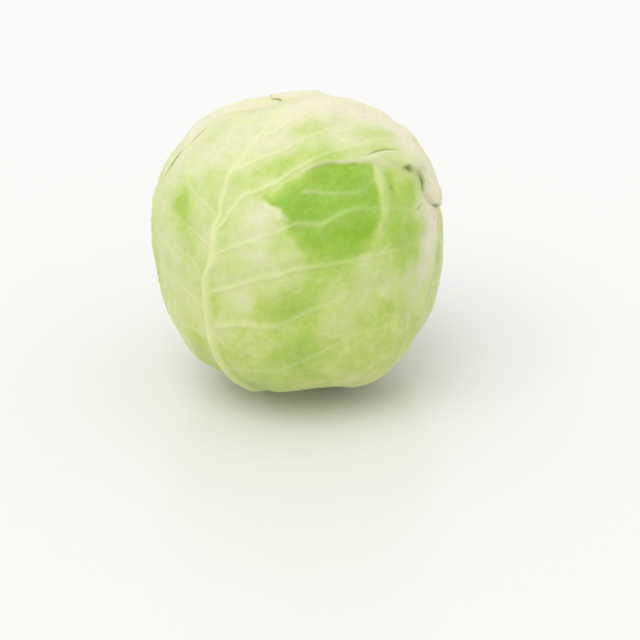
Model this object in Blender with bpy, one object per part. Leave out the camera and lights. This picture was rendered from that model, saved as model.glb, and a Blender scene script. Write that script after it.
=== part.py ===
# A white cabbage head standing on its trimmed stalk: the stalk, the packed heart and six wrapper leaves.
# Metres, +Z up. The origin is the middle of the stalk's cut face, which rests on the surface. -Y is the front.
from dataclasses import dataclass

import bmesh
import bpy
import numpy as np

# Driving dimensions of the head.
CENTRE_HEIGHT = 0.0940        # height of the head's widest level
HEART_RADIUS = 0.0812         # the packed heart, across
HEART_RISE = 0.0715           # the heart above its widest level
HEART_DROP = 0.0830           # the heart below its widest level
TOP_POWER = 2.25              # above the widest level; 2 would be an ellipse, and more is squarer
BOTTOM_POWER = 2.8            # below it
DIMPLE_DEPTH = 0.0085         # how far the leaf bases turn up to the stalk
DIMPLE_SPREAD = 17.0          # degrees round the stalk's axis
STALK_RADIUS = 0.0172
STALK_HEIGHT = 0.0190
STALK_CHAMFER = 0.0012

# Driving dimensions of every wrapper leaf.
BLADE = 0.0009                # thickness of a blade
GAP = 0.0015                  # air between one leaf and the next
HEART_GAP = 0.0020            # air between the heart and the leaves on it
PITCH = BLADE + GAP
LEDGE = 0.03                  # how far past a margin the leaf above stays up, as a share of the reach
FADE = 0.15                   # and over what further share it comes down
BASE_CLEARANCE = 13.6         # degrees from the stalk's axis to a leaf's base
MM_PER_REACH = 138.0          # one leaf reach, centre to margin, in millimetres over the head
COVERED_RIB = 0.15            # share of its height that a rib keeps under another leaf
COVERED_VEIN = 0.10
IMPRINT = 0.42                # share of a rib's height that the leaf above rises over it
IMPRINT_WIDTH = 1.9           # how much wider than the rib that rise is

# Long soft swells of the whole head: (share of the radius, lobes round the axis, phase, lobes up and down, phase).
SWELLS = (
    (0.032, 1, 1.3, 2.0, -1.6),
    (0.016, 2, 0.3, 1.0, 0.7),
    (0.017, 3, 5.0, 2.0, 0.5),
    (0.007, 5, 3.6, 3.0, 1.1),
)

# Where a leaf's parts lie along its length, from 0 at the base to 1 at the tip.
VEINS = (0.30, 0.41, 0.51, 0.61, 0.74, 0.86)
VEIN_HALF = 0.020
RIB_COLUMNS = (0.030, 0.075)  # mesh columns beside the midrib, as a share of the way to the margin
ROWS_BELOW_VEINS = 6          # mesh rows from the base to the first side vein
BASE_ARC = 10.0               # degrees of the outline that the base takes up on each side
TIP_ARC = 30.0                # degrees of the outline beside the tip that the last row follows
MARGIN_POWER = 0.60           # below 1, side veins climb towards the margin
VEIN_ARCH = 0.06              # how far they arch above a straight line
RIB_SKEW = 0.18               # how far below the middle a midrib's bow is deepest
PLEAT_LEVEL = 0.44            # where a fold runs, up the leaf's disc
PLEAT_ENDS = (0.04, 0.66)     # and across it


@dataclass
class Leaf:
    """One wrapper leaf, drawn on a plane laid over the head from the leaf's own middle."""

    name: str
    azimuth: float            # degrees from the front towards the right, of the leaf's middle
    latitude: float           # degrees above the widest level, of the leaf's middle
    reach: tuple              # degrees from the middle to the margin, every 30 degrees from the right round by the top
    bow: float                # how far the midrib bows to the right, as a share of the reach
    rib_height: float
    rib_half_width: float
    vein_height: float
    columns: tuple            # mesh columns to the left and to the right of the midrib
    rows_between: int         # mesh rows between two side veins
    wave: tuple               # of the margin: (degrees, waves, phase)
    lift: float               # how far the free margin stands off
    colour: tuple
    pleat: float = 0.0        # height of the cross-wise fold on the leaf's right side


# From the heart outwards.
LEAVES = (
    Leaf("leaf_6_left_inner", -82.0, 6.0, (72, 78, 84, 88, 84, 76, 70, 74, 80, 84, 80, 74), 0.05,
         0.0042, 0.0085, 0.0010, (7, 7), 1, (1.5, 5, 0.6), 0.0006, (0.72, 0.80, 0.46)),
    Leaf("leaf_5_right_inner", 40.0, 6.0, (70, 76, 84, 86, 82, 76, 70, 74, 80, 84, 80, 72), 0.03,
         0.0046, 0.0085, 0.0010, (7, 7), 1, (1.5, 6, 2.2), 0.0006, (0.66, 0.78, 0.38)),
    Leaf("leaf_4_back", 158.0, 8.0, (70, 80, 92, 100, 90, 78, 72, 76, 80, 84, 80, 74), -0.06,
         0.0044, 0.0085, 0.0012, (8, 8), 1, (2.0, 5, 1.4), 0.0010, (0.69, 0.80, 0.42)),
    Leaf("leaf_3_left", -126.0, 7.0, (72, 80, 90, 94, 84, 74, 66, 72, 80, 84, 82, 76), 0.08,
         0.0044, 0.0090, 0.0014, (9, 9), 1, (2.2, 6, 3.1), 0.0014, (0.64, 0.77, 0.36)),
    Leaf("leaf_2_right", 104.0, 7.0, (70, 78, 86, 92, 86, 78, 70, 74, 80, 84, 80, 74), -0.06,
         0.0044, 0.0090, 0.0014, (9, 9), 1, (2.0, 7, 0.2), 0.0014, (0.66, 0.78, 0.38)),
    Leaf("leaf_1_front", -6.0, 12.0, (76, 90, 92, 73, 71, 66, 62, 70, 82, 86, 80, 72), -0.42,
         0.0030, 0.0080, 0.0013, (8, 15), 2, (1.3, 9, 1.0), 0.0012, (0.68, 0.80, 0.40), 0.0026),
)


def smooth_step(x):
    """0 at 0, 1 at 1, with no corner at either."""
    x = np.clip(x, 0.0, 1.0)
    return x * x * (3.0 - 2.0 * x)


def bell(x):
    """A rounded ridge: 1 at 0, and 0 from 1 outwards."""
    return 0.5 + 0.5 * np.cos(np.pi * np.clip(np.abs(x), 0.0, 1.0))


def direction(azimuth, latitude):
    a, b = np.radians(azimuth), np.radians(latitude)
    return np.stack([np.cos(b) * np.sin(a), -np.cos(b) * np.cos(a), np.sin(b)], axis=-1)


def leaf_axes(leaf):
    """The leaf's middle, its right and its up, as unit vectors."""
    a = np.radians(leaf.azimuth)
    middle = direction(leaf.azimuth, leaf.latitude)
    right = np.array([np.cos(a), np.sin(a), 0.0])
    return middle, right, np.cross(middle, right)


def reach_at(leaf, bearing):
    """Degrees from the leaf's middle to its margin, at a bearing in degrees from its right, by its top."""
    knots = np.array(leaf.reach, float)
    knots[9] = 90.0 + leaf.latitude - BASE_CLEARANCE
    at = (np.asarray(bearing) % 360.0) / 30.0
    k = np.floor(at).astype(int)
    f = at - k
    before, here, after, last = (knots[(k + step) % 12] for step in (-1, 0, 1, 2))
    curve = here + 0.5 * f * (after - before + f * (2 * before - 5 * here + 4 * after - last
                              + f * (3 * (here - after) + last - before)))
    size, waves, phase = leaf.wave
    away_from_base = smooth_step((1.0 + np.sin(np.radians(bearing))) / 0.6)
    b = np.radians(bearing)
    return curve + size * away_from_base * (np.sin(waves * b + phase) + 0.45 * np.sin((2 * waves + 1) * b - phase))


def to_head(leaf, x, y):
    """Directions from the head's centre for points of the leaf's unit disc."""
    bearing = np.degrees(np.arctan2(y, x))
    reach = np.radians(np.hypot(x, y) * reach_at(leaf, bearing))
    middle, right, up = leaf_axes(leaf)
    b = np.radians(bearing)
    outward = np.cos(b)[..., None] * right + np.sin(b)[..., None] * up
    return np.cos(reach)[..., None] * middle + np.sin(reach)[..., None] * outward


def to_disc(leaf, way):
    """The other way round: where directions from the head's centre fall on the leaf's unit disc."""
    middle, right, up = leaf_axes(leaf)
    a, b = way @ right, way @ up
    bearing = np.degrees(np.arctan2(b, a))
    share = np.degrees(np.arccos(np.clip(way @ middle, -1, 1))) / reach_at(leaf, bearing)
    return share * np.cos(np.radians(bearing)), share * np.sin(np.radians(bearing))


def midrib_x(leaf, y):
    """Where the midrib runs, across the disc, at a height on the disc."""
    y = np.clip(y, -1, 1)
    return leaf.bow * np.cos(0.5 * np.pi * (y + RIB_SKEW * (1.0 - y * y)))


def rib_relief(leaf, x, y, widen=1.0):
    """Height of the midrib, which narrows and sinks from the base to the tip."""
    along = np.clip(0.5 * (y + 1.0), 0.0, 1.0)
    height = leaf.rib_height * (1.0 - along) ** 1.1 + 0.0006 * (1.0 - along)
    half = widen * (leaf.rib_half_width * (1.0 - along) ** 1.3 + 0.0022)
    off = (x - midrib_x(leaf, y)) * MM_PER_REACH * 0.001
    return height * bell(off / half)


def cover(leaf, x, y):
    """1 where the leaf lies, falling to 0 a little way past its margin."""
    return 1.0 - smooth_step((np.hypot(x, y) - 1.0 - LEDGE) / FADE)


def heart_reach(way):
    """Distance from the head's centre to the packed heart."""
    across = np.hypot(way[..., 0], way[..., 1])
    above = way[..., 2] >= 0.0
    tall = np.where(above, HEART_RISE, HEART_DROP)
    power = np.where(above, TOP_POWER, BOTTOM_POWER)
    reach = ((across / HEART_RADIUS) ** power + (np.abs(way[..., 2]) / tall) ** power) ** (-1.0 / power)
    azimuth = np.arctan2(way[..., 0], -way[..., 1])
    latitude = np.arcsin(np.clip(way[..., 2], -1, 1))
    for share, lobes, phase, bands, shift in SWELLS:
        reach = reach * (1.0 + share * across * np.cos(lobes * azimuth + phase) * np.cos(bands * latitude + shift))
    from_axis = np.degrees(np.arctan2(across, -way[..., 2]))
    return reach - DIMPLE_DEPTH * np.exp(-0.5 * (from_axis / DIMPLE_SPREAD) ** 2)


def underside_reach(way, below):
    """Distance from the head's centre to the inner face of a leaf that lies on the leaves below it."""
    reach = heart_reach(way) + HEART_GAP
    for leaf in below:
        x, y = to_disc(leaf, way)
        inside = cover(leaf, x, y)
        reach = reach + inside * (PITCH + IMPRINT * rib_relief(leaf, x, y, IMPRINT_WIDTH))
    return reach


def exposure(way, above):
    """1 where nothing lies over the leaf, 0 where a leaf does."""
    free = np.ones(way.shape[:-1])
    for leaf in above:
        free = free * (1.0 - cover(leaf, *to_disc(leaf, way)))
    return free


def leaf_disc(leaf, u, t):
    """The leaf's own grid on its unit disc: u from margin to margin, t from base to tip, rows along its side veins."""
    side, s = np.sign(u), np.abs(u)

    def on_circle(degrees):
        a = np.radians(degrees)
        return np.stack([side * np.sin(a), -np.cos(a)], axis=-1)

    def on_midrib(at):
        y = 2.0 * at - 1.0
        return np.stack([midrib_x(leaf, y), y], axis=-1)

    zero, one = np.zeros_like(t), np.ones_like(t)
    last = 180.0 - TIP_ARC
    margin_angle = BASE_ARC + (last - BASE_ARC) * t ** MARGIN_POWER
    s2, t2 = s[..., None], t[..., None]
    point = (1 - s2) * on_midrib(t) + s2 * on_circle(margin_angle)
    point = point + (1 - t2) * on_circle(BASE_ARC * s) + t2 * on_circle(180.0 - TIP_ARC * s)
    point = point - (1 - s2) * (1 - t2) * on_midrib(zero) - s2 * (1 - t2) * on_circle(BASE_ARC * one)
    point = point - (1 - s2) * t2 * on_midrib(one) - s2 * t2 * on_circle(last * one)
    arch = VEIN_ARCH * 16.0 * s * (1.0 - s) * t * (1.0 - t)
    return point[..., 0], point[..., 1] + arch


def vein_relief(leaf, u, t):
    """Height of the side veins, which start at the midrib and fade before the margin."""
    s = np.abs(u)
    height = leaf.vein_height * (1.0 - s) ** 0.7 * smooth_step(s / 0.02)
    nearest = np.min([np.abs(t - vein) for vein in VEINS], axis=0)
    return height * bell(nearest / VEIN_HALF)


def margin_lift(leaf, x, y):
    """How far the outermost part of the blade turns outwards."""
    share = np.hypot(x, y)
    bearing = np.arctan2(y, x)
    away_from_base = smooth_step((1.0 + np.sin(bearing)) / 0.8)
    uneven = 0.55 + 0.45 * np.sin(3.0 * bearing + leaf.wave[2])
    return leaf.lift * uneven * away_from_base * smooth_step((share - 0.86) / 0.14)


def pleat_relief(leaf, x, y):
    """Height of the fold: a step along its lower side, running out smoothly above it and at its ends."""
    start, end = PLEAT_ENDS
    step = smooth_step((y - PLEAT_LEVEL + 0.05) / 0.07) * (1.0 - smooth_step((y - PLEAT_LEVEL - 0.02) / 0.30))
    return leaf.pleat * step * smooth_step((x - start) / 0.15) * (1.0 - smooth_step((x - end) / 0.12))


def grid_lines(leaf):
    """Mesh columns hug the midrib, and mesh rows hug the side veins."""
    def half(count):
        near = RIB_COLUMNS[-1]
        rest = near + (1.0 - near) * np.linspace(0, 1, count - 1) ** 0.9
        return np.concatenate([RIB_COLUMNS[:-1], rest])

    left, right = leaf.columns
    columns = np.concatenate([-half(left)[::-1], [0.0], half(right)])
    below_veins = (VEINS[0] - VEIN_HALF) * np.linspace(0, 1, ROWS_BELOW_VEINS + 1)[:-1] ** 1.5
    rows = list(below_veins)
    for vein, after in zip(VEINS, VEINS[1:] + (1.0,)):
        rows += [vein - VEIN_HALF, vein, vein + VEIN_HALF]
        between = np.linspace(vein + VEIN_HALF, after - VEIN_HALF, leaf.rows_between + 2)[1:-1]
        rows += list(between)
    return columns, np.array(rows + [1.0])


def blade_face(mesh, columns, rows, points):
    """One face of a blade: a grid whose corners are moved onto the given points."""
    made = bmesh.ops.create_grid(mesh, x_segments=len(columns) - 1, y_segments=len(rows) - 1, size=1.0)
    corners = sorted(made["verts"], key=lambda v: (round(v.co.y, 5), round(v.co.x, 5)))
    for corner, point in zip(corners, points.reshape(-1, 3)):
        corner.co = point


def leaf_mesh(leaf, below, above):
    """A closed blade with its midrib and side veins raised on the outer face."""
    columns, rows = grid_lines(leaf)
    u, t = np.meshgrid(columns, rows)
    x, y = leaf_disc(leaf, u, t)
    way = to_head(leaf, x, y)
    free = exposure(way, above)
    inner = underside_reach(way, below) + margin_lift(leaf, x, y) * free + pleat_relief(leaf, x, y)
    rib = rib_relief(leaf, x, y) * (COVERED_RIB + (1.0 - COVERED_RIB) * free)
    vein = vein_relief(leaf, u, t) * (COVERED_VEIN + (1.0 - COVERED_VEIN) * free)
    outer = inner + BLADE + np.maximum(rib, vein)
    centre = np.array([0.0, 0.0, CENTRE_HEIGHT])
    mesh = bmesh.new()
    blade_face(mesh, columns, rows, centre + way * outer[..., None])
    blade_face(mesh, columns, rows, centre + way * inner[..., None])
    bmesh.ops.reverse_faces(mesh, faces=mesh.faces[len(mesh.faces) // 2:])
    bmesh.ops.bridge_loops(mesh, edges=[edge for edge in mesh.edges if edge.is_boundary])
    bmesh.ops.triangulate(mesh, faces=mesh.faces[:])
    return mesh


def heart_mesh():
    """The packed inner leaves: a ball with the low steps where their margins lap over each other."""
    mesh = bmesh.new()
    bmesh.ops.create_uvsphere(mesh, u_segments=32, v_segments=20, radius=1.0)
    way = np.array([v.co.normalized()[:] for v in mesh.verts])
    azimuth = np.arctan2(way[:, 0], -way[:, 1])
    latitude = np.arcsin(np.clip(way[:, 2], -1, 1))
    lap = (1.5 * azimuth / np.pi + 1.1 * latitude) % 1.0
    sunk = 0.0012 * lap * smooth_step((np.cos(latitude) - 0.05) / 0.3)
    reach = heart_reach(way) - sunk
    floor = STALK_HEIGHT + 0.0003 - CENTRE_HEIGHT
    for vertex, line, distance in zip(mesh.verts, way, reach):
        point = line * distance
        near_stalk = np.hypot(point[0], point[1]) < STALK_RADIUS + 0.010 and point[2] < 0.0
        point[2] = max(point[2], floor) if near_stalk else point[2]
        vertex.co = (point[0], point[1], point[2] + CENTRE_HEIGHT)
    bmesh.ops.triangulate(mesh, faces=mesh.faces[:])
    return mesh


def stalk_mesh():
    """The trimmed stalk: a short round stump, a little oval, with a knife-cut face below."""
    mesh = bmesh.new()
    bmesh.ops.create_cone(mesh, cap_ends=True, segments=28, radius1=STALK_RADIUS,
                          radius2=STALK_RADIUS * 0.84, depth=STALK_HEIGHT)
    bmesh.ops.translate(mesh, verts=mesh.verts, vec=(0.0, 0.0, STALK_HEIGHT / 2))
    foot = [e for e in mesh.edges if all(v.co.z < 1e-6 for v in e.verts)]
    bmesh.ops.bevel(mesh, geom=foot, offset=STALK_CHAMFER, segments=2, profile=0.5, affect="EDGES")
    return mesh


def finish(name, colour, roughness):
    """A leaf or stalk finish: its colour, and how far it scatters light."""
    material = bpy.data.materials.new(name)
    material.use_nodes = True
    shader = material.node_tree.nodes["Principled BSDF"]
    shader.inputs["Base Color"].default_value = (*colour, 1.0)
    shader.inputs["Roughness"].default_value = roughness
    shader.inputs["Metallic"].default_value = 0.0
    return material


def add_object(name, mesh, material, smooth=True):
    bmesh.ops.recalc_face_normals(mesh, faces=mesh.faces[:])
    data = bpy.data.meshes.new(name)
    mesh.to_mesh(data)
    mesh.free()
    data.materials.append(material)
    if smooth:
        data.shade_smooth()
        data.set_sharp_from_angle(angle=np.radians(50.0))
    made = bpy.data.objects.new(name, data)
    bpy.context.scene.collection.objects.link(made)
    return made


def main():
    for old in list(bpy.data.objects):
        bpy.data.objects.remove(old)
    add_object("stalk", stalk_mesh(), finish("cut_stalk", (0.83, 0.80, 0.60), 0.6))
    add_object("heart", heart_mesh(), finish("packed_heart", (0.80, 0.84, 0.58), 0.5))
    for k, leaf in enumerate(LEAVES):
        mesh = leaf_mesh(leaf, LEAVES[:k], LEAVES[k + 1:])
        add_object(leaf.name, mesh, finish(leaf.name + "_blade", leaf.colour, 0.42))


main()
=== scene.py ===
"""A white cabbage head: six wrapper leaves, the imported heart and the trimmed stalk, on a pale studio floor."""
import random
from dataclasses import dataclass

import bmesh
import bpy
import numpy as np
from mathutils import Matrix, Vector, kdtree, noise


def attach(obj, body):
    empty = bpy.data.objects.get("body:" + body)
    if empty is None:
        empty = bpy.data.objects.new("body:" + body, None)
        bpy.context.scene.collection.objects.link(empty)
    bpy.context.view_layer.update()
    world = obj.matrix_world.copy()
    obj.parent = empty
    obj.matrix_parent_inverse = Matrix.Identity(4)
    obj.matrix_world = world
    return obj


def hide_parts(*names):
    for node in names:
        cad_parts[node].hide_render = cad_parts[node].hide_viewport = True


bl_info = {
    "name": "Cabbage Head",
    "version": (1, 0, 0),
    "blender": (4, 5, 0),
    "location": "3D View > Sidebar > Cabbage",
    "description": "Builds the leaves, heart and stalk of a white cabbage over its solids, and a studio stage",
    "category": "Object",
}

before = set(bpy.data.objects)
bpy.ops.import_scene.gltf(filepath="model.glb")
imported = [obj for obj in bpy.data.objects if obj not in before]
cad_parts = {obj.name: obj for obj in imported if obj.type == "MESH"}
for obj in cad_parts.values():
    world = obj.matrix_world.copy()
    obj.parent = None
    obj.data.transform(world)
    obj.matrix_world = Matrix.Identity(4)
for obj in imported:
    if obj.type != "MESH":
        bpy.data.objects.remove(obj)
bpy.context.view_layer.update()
MM = 0.001

# The head's build, as the solids have it.
CENTRE = Vector((0.0, 0.0, 0.0940))
HEART_RADIUS = 0.0812
HEART_RISE = 0.0715
HEART_DROP = 0.0830
TOP_POWER = 2.25
BOTTOM_POWER = 2.8
DIMPLE_DEPTH = 0.0085
DIMPLE_SPREAD = 17.0
STALK_RADIUS = 0.0172
STALK_HEIGHT = 0.0190
BLADE = 0.0009
GAP = 0.0015
HEART_GAP = 0.0012            # less than the solids have, so that the puckers stay within them
CROWN_EASE = 0.0014           # how much looser the leaves lie over the crown
PITCH = BLADE + GAP
LEDGE = 0.03
FADE = 0.15
BASE_CLEARANCE = 11.2         # degrees from the stalk's axis: each leaf's base runs a little way into the stalk
MM_PER_REACH = 138.0
COVERED_RIB = 0.15
IMPRINT = 0.42
IMPRINT_WIDTH = 1.9
SWELLS = (
    (0.032, 1, 1.3, 2.0, -1.6),
    (0.016, 2, 0.3, 1.0, 0.7),
    (0.017, 3, 5.0, 2.0, 0.5),
    (0.007, 5, 3.6, 3.0, 1.1),
)
VEINS = (0.30, 0.41, 0.51, 0.61, 0.74, 0.86)
BASE_ARC = 10.0
TIP_ARC = 30.0
MARGIN_POWER = 0.60
VEIN_ARCH = 0.06
RIB_SKEW = 0.18
PLEAT_LEVEL = 0.44
PLEAT_ENDS = (0.04, 0.66)

# Places on a leaf's disc are (x, y) pairs, with the middle at (0, 0) and the margin at a distance of 1.
LOW_VEINS = (0.07, 0.13, 0.20)       # thin side veins below the strong ones, from base to tip
FAINT_LEFT = 0.45                    # strength of the front leaf's side veins left of its midrib
# The front leaf's side veins to the right of its midrib, as the photograph shows them: (strength, places).
FRONT_VEINS = (
    (0.50, ((-0.33, -0.62), (-0.08, -0.52), (0.22, -0.44), (0.57, -0.38), (0.84, -0.32))),
    (0.75, ((-0.41, -0.42), (-0.20, -0.33), (0.08, -0.26), (0.42, -0.19), (0.88, -0.12))),
    (0.85, ((-0.42, -0.23), (-0.22, -0.15), (0.00, -0.06), (0.25, -0.02), (0.60, 0.04), (0.95, 0.09))),
    (0.60, ((-0.39, 0.01), (-0.20, 0.08), (0.04, 0.145), (0.15, 0.138), (0.24, 0.187), (0.32, 0.212),
            (0.40, 0.217), (0.62, 0.225), (0.90, 0.25))),
    (0.50, ((0.10, 0.290), (0.18, 0.268), (0.27, 0.262), (0.34, 0.290), (0.40, 0.345))),
    (1.00, ((-0.36, 0.14), (-0.26, 0.25), (-0.14, 0.335), (-0.005, 0.398), (0.085, 0.428), (0.17, 0.455),
            (0.24, 0.475), (0.40, 0.515), (0.60, 0.56), (0.76, 0.585))),
    (0.75, ((-0.25, 0.43), (-0.11, 0.53), (0.06, 0.58), (0.28, 0.65), (0.50, 0.73), (0.60, 0.77))),
    (0.80, ((-0.12, 0.67), (0.00, 0.72), (0.10, 0.76), (0.19, 0.83), (0.30, 0.91))),
)
CREASE = ((0.07, 0.402), (0.18, 0.412), (0.31, 0.412), (0.45, 0.404), (0.56, 0.400))
TORN_EDGE = ((0.545, 0.405), (0.575, 0.412), (0.61, 0.402), (0.655, 0.410), (0.695, 0.385), (0.725, 0.335),
             (0.755, 0.305), (0.80, 0.288), (0.85, 0.276), (0.91, 0.256), (0.99, 0.245))
TORN_OPENINGS = ((0.12, 0.13), (0.46, 0.13), (0.93, 0.08))      # where along it, and half how long
SLIT = ((0.345, 0.428), (0.40, 0.452), (0.44, 0.464), (0.52, 0.466))
SLIT_OPENINGS = ((0.50, 0.50),)
# Short, sharp creases below the torn corner, each with a dark line of painted shade along it.
PINCHES = (((0.475, 0.335), (0.505, 0.285)), ((0.685, 0.215), (0.745, 0.255)), ((0.895, 0.200), (0.925, 0.165)))
SCAR = ((-0.10, 0.300), (-0.06, 0.262), (-0.02, 0.250), (0.00, 0.208), (0.030, 0.185), (0.045, 0.150))
BAND = ((0.41, 0.39), (0.445, 0.33), (0.465, 0.26), (0.465, 0.18), (0.44, 0.10))
# Where the wax is rubbed off: places round the patch with the inside on their left, and how softly it ends there.
BARE_PATCH = (
    (0.375, 0.397, 0.012), (0.26, 0.405, 0.012), (0.12, 0.405, 0.016), (0.06, 0.36, 0.16), (-0.03, 0.33, 0.16),
    (-0.10, 0.31, 0.08), (-0.06, 0.27, 0.03), (-0.005, 0.24, 0.025), (0.03, 0.185, 0.04), (0.05, 0.145, 0.05),
    (0.08, 0.085, 0.08), (0.15, 0.02, 0.14), (0.25, -0.03, 0.20), (0.34, 0.02, 0.16), (0.40, 0.09, 0.10),
    (0.43, 0.17, 0.05), (0.435, 0.22, 0.04), (0.42, 0.285, 0.035), (0.395, 0.345, 0.03),
)
# Soft patches of the front leaf's wax, one of which is painted light: (place, size across and up, thicker or thinner).
WAX_AND_LIGHT_PATCHES = (
    ((-0.65, 0.24), (0.11, 0.19), -0.45),
    ((0.54, 0.27), (0.09, 0.16), -0.50),
    ((0.46, 0.30), (0.05, 0.12), -0.50),
    ((0.64, 0.33), (0.08, 0.08), -0.35),
    ((0.70, 0.10), (0.14, 0.14), -0.30),
    ((0.01, -0.23), (0.14, 0.07), -0.38),
    ((0.06, -0.44), (0.18, 0.09), -0.32),
    ((-0.32, -0.72), (0.20, 0.14), -0.35),
    ((0.10, 0.655), (0.13, 0.05), -0.30),
    ((-0.18, 0.36), (0.09, 0.10), -0.25),
    ((0.02, 0.47), (0.17, 0.085), -0.62),
    ((0.21, 0.43), (0.09, 0.05), -0.30),
    ((-0.40, 0.37), (0.20, 0.12), -0.28),
    ((0.00, 0.11), (0.07, 0.08), -0.35),
    ((-0.30, 0.10), (0.05, 0.20), -0.15),
    ((0.44, 0.56), (0.13, 0.06), -0.50),
    ((0.40, 0.475), (0.14, 0.03), -0.30),
    ((-0.30, 0.89), (0.12, 0.05), -0.30),
    ((-0.14, 0.10), (0.17, 0.15), 0.22),
    ((-0.12, 0.02), (0.09, 0.025), 0.20),
    ((-0.30, 0.68), (0.22, 0.14), 0.12),
    ((-0.75, 0.02), (0.12, 0.25), 0.20),
    ((-0.17, -0.22), (0.09, 0.08), 0.45),
    ((-0.27, -0.42), (0.10, 0.10), -0.08),
    ((-0.68, -0.28), (0.14, 0.14), 0.15),
    ((-0.54, -0.22), (0.07, 0.08), 0.25),
    ((-0.29, -0.20), (0.05, 0.16), 0.18),
    ((0.24, 0.84), (0.28, 0.10), 0.40),
    ((0.60, 0.52), (0.20, 0.06), 0.25),
    # Painted light: thicker wax at the right edge, which brightens the side that the key light leaves in shade.
    ((0.90, 0.10), (0.14, 0.35), 0.65),
    ((0.58, 0.74), (0.18, 0.12), 0.42),
)


@dataclass
class Leaf:
    """One wrapper leaf, drawn on a disc that is laid over the head from the leaf's own middle."""

    node: str
    azimuth: float
    latitude: float
    reach: tuple
    bow: float
    rib_height: float
    rib_half_width: float
    vein_height: float
    wave: tuple
    lift: float
    cells: tuple              # of the mesh, across and from base to tip
    pleat: float = 0.0
    lifted: tuple = ()        # bearings where the margin stands off, each with half its length, in degrees
    crevice_shade: tuple = ()      # bearings where shade is painted on the leaf below, beside the margin, likewise


LEAVES = (
    Leaf("leaf_6_left_inner", -82.0, 6.0, (72, 78, 84, 88, 84, 76, 70, 74, 80, 84, 80, 74), 0.05,
         0.0042, 0.0085, 0.0009, (1.5, 5, 0.6), 0.0006, (120, 130)),
    Leaf("leaf_5_right_inner", 40.0, 6.0, (70, 76, 84, 86, 82, 76, 70, 74, 80, 84, 80, 72), 0.03,
         0.0046, 0.0085, 0.0009, (1.5, 6, 2.2), 0.0006, (120, 130)),
    Leaf("leaf_4_back", 158.0, 8.0, (70, 80, 92, 100, 90, 78, 72, 76, 80, 84, 80, 74), -0.06,
         0.0044, 0.0085, 0.0011, (2.0, 5, 1.4), 0.0010, (150, 160)),
    Leaf("leaf_3_left", -126.0, 7.0, (72, 80, 90, 94, 84, 74, 66, 72, 80, 84, 82, 76), 0.08,
         0.0044, 0.0090, 0.0012, (2.2, 6, 3.1), 0.0014, (180, 190)),
    Leaf("leaf_2_right", 104.0, 7.0, (70, 78, 86, 92, 86, 78, 70, 74, 80, 84, 80, 74), -0.06,
         0.0044, 0.0090, 0.0012, (2.0, 7, 0.2), 0.0014, (180, 190)),
    Leaf("leaf_1_front", -6.0, 12.0, (76, 90, 92, 73, 71, 66, 62, 70, 82, 86, 80, 72), -0.42,
         0.0030, 0.0080, 0.0009, (1.3, 9, 1.0), 0.0012, (215, 225), 0.0026, ((164, 9), (58, 26), (20, 12)),
         ((173, 8), (147, 9), (131, 7), (115, 6))),
)


def linear(code):
    """An sRGB hex colour as linear red, green, blue and alpha."""
    parts = [int(code[i:i + 2], 16) / 255.0 for i in (1, 3, 5)]
    return tuple(p / 12.92 if p <= 0.04045 else ((p + 0.055) / 1.055) ** 2.4 for p in parts) + (1.0,)


def colour(label, code, description):
    return bpy.props.FloatVectorProperty(name=label, description=description, subtype="COLOR", size=4,
                                         min=0.0, max=1.0, default=linear(code))


def length(label, metres, description):
    return bpy.props.FloatProperty(name=label, description=description, subtype="DISTANCE", unit="LENGTH",
                                   default=metres, min=0.0, precision=5)


def share(label, value, description, top=1.0):
    return bpy.props.FloatProperty(name=label, description=description, default=value, min=0.0, max=top)


class LeafRelief(bpy.types.PropertyGroup):
    """Sizes of what stands up from or is torn out of a wrapper leaf."""

    branch_height: length("Branch Veins", 0.28 * MM, "Height of the veins that branch from a side vein")
    quilt_height: length("Quilting", 0.5 * MM, "How far the blade bulges between its veins")
    pucker_height: length("Puckers", 0.7 * MM, "Height of the blade's broad, uneven waves")
    crumple_height: length("Crumples", 0.45 * MM, "Height of the soft creases where the blade has been pressed")
    thin_edge: share("Edge Thickness", 0.55, "Thickness of the margin, as a share of the blade's")
    edge_gap: length("Edge Gap", 0.3 * MM, "Air under a margin where it lies on the next leaf")
    edge_curl: length("Edge Curl", 2.2 * MM, "How far a margin turns outwards where it stands off")
    edge_nick: bpy.props.FloatProperty(name="Edge Nicks", description="Depth of the nicks in a margin, in degrees",
                                       default=1.0, min=0.0)
    tear_lift: length("Tear Lift", 1.6 * MM, "How far the upper lip of a tear stands up")
    tear_drop: length("Tear Drop", 1.3 * MM, "How far the lower lip of a tear sinks")
    # Width of the painted shade under a tear's lip.
    tear_shade_width: length("Tear Gap", 1.0 * MM, "Width of the dark gap under a tear's lip")


class LeafColours(bpy.types.PropertyGroup):
    """Colours of the wrapper leaves."""

    blade: colour("Blade", "#B4CB5C", "The leaf's own green under a normal bloom")
    bare: colour("Bare Blade", "#84B11F", "The leaf where its wax is rubbed off")
    bloom: colour("Wax Bloom", "#DEDBBB", "Where the wax bloom is thick")
    base: colour("Leaf Base", "#DDDC88", "The blade low down, where it was shaded as it grew")
    vein: colour("Veins", "#E0E3B0", "Side veins and their branches")
    rib: colour("Midrib", "#DCDF9E", "The midrib")
    # Painted shade: the dark green painted inside a tear and in the gaps between leaves.
    gap: colour("Gap", "#55791A", "Inside a tear and deep between leaves")
    dry: colour("Dry Edge", "#D8CF93", "A margin that has dried")


class StalkColours(bpy.types.PropertyGroup):
    """Colours of the trimmed stalk and the heart."""

    pith: colour("Pith", "#E9E8C6", "The middle of the cut face")
    wood: colour("Woody Ring", "#D6D69A", "The ring of fibres near the rim of the cut face")
    skin: colour("Skin", "#C9D394", "The stalk's side")
    dried: colour("Dried Cut", "#BFA873", "Where the cut has dried and browned")
    heart: colour("Heart", "#DDE5A6", "The packed inner leaves")


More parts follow.
